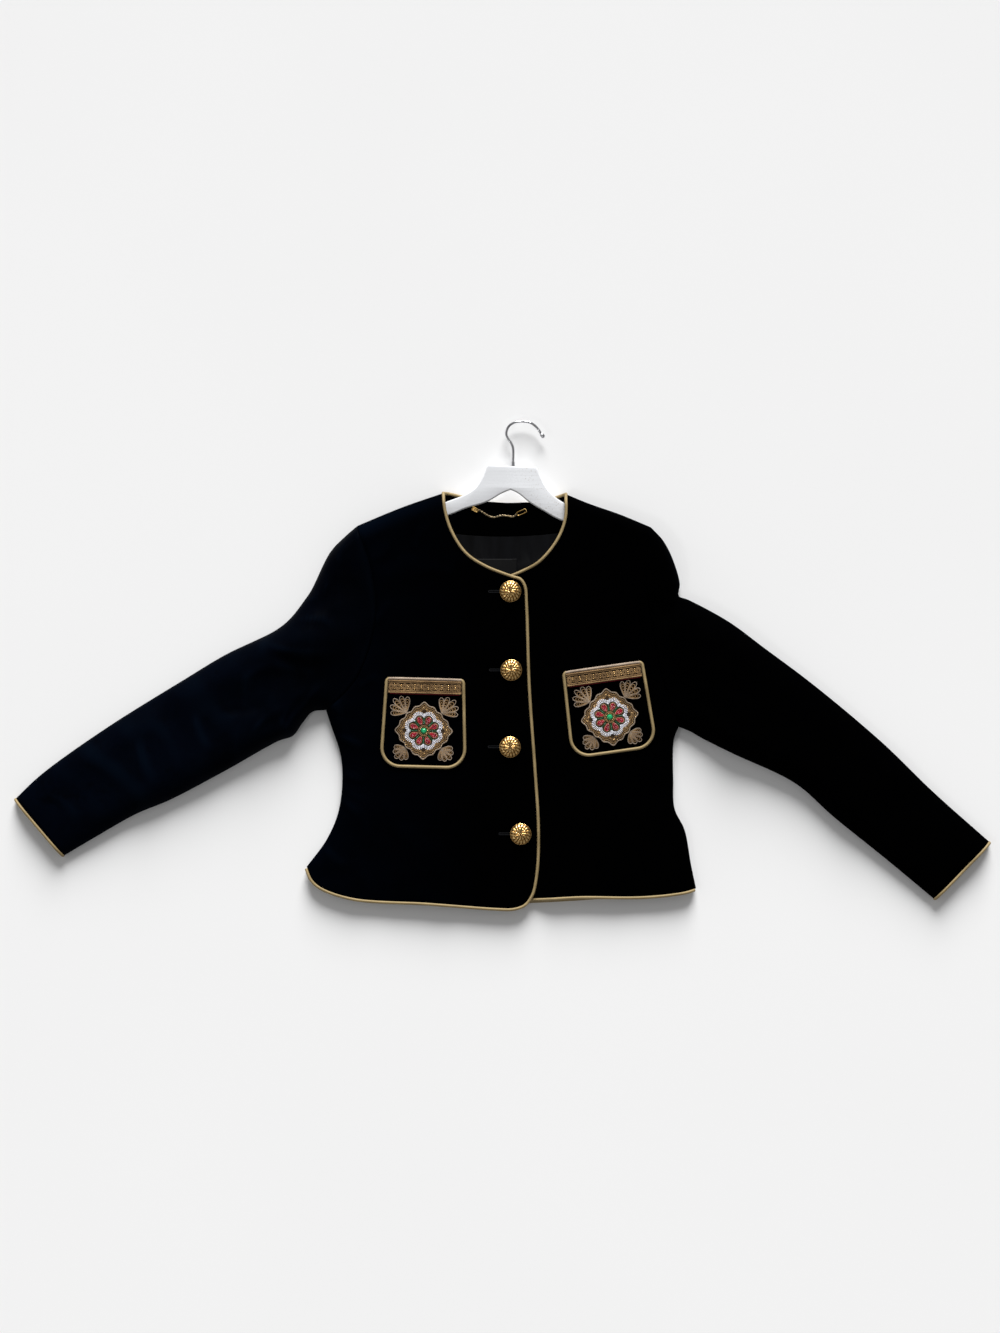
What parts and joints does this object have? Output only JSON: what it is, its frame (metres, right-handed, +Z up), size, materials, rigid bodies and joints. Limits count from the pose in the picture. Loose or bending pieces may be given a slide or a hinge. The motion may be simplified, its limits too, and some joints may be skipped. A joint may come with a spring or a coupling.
{
  "type": "cropped jacket on a clothes hanger",
  "caption": "Collarless cropped velvet jacket laid flat with long sleeves spread, braid-bound edges, patch pockets and domed buttons, on a flat wooden hanger.",
  "frame": {"origin": "middle of the whole part's box in plan, at the surface that the jacket lies on", "axes": "+X to the right as seen from above, from the wearer's right sleeve to the left one, +Y towards the hanger's hook, +Z up out of the surface"},
  "size_m": [1.2737, 0.6391, 0.0405],
  "materials": {
    "velvet": "cut pile",
    "lining": "satin",
    "label": "woven",
    "braid": "metallic thread",
    "lace": "metallic lace",
    "applique": "beaded",
    "gold": "polished",
    "wood": "white paint",
    "chrome": "polished"
  },
  "bodies": {
    "root": {"back": "velvet", "front_right": "velvet", "front_left": "velvet", "sleeve_right_upper": "velvet", "sleeve_right_under": "velvet", "sleeve_left_upper": "velvet", "sleeve_left_under": "velvet", "neck_facing": "velvet", "lining": "lining", "label": "label", "pocket_right": "velvet", "pocket_left": "velvet", "pocket_band_right": "lace", "pocket_band_left": "lace", "applique_right": "applique", "applique_left": "applique", "braid_front_right": "braid", "braid_front_left": "braid", "braid_back_neck": "braid", "braid_back_hem": "braid", "braid_cuff_right": "braid", "braid_cuff_left": "braid", "braid_pocket_right": "braid", "braid_pocket_left": "braid", "button_1": "gold", "button_2": "gold", "button_3": "gold", "button_4": "gold", "hanger_bar": "wood", "hanger_hook": "chrome", "chain": "gold", "chain_tab_right": "gold", "chain_tab_left": "gold"}
  },
  "joints": []
}
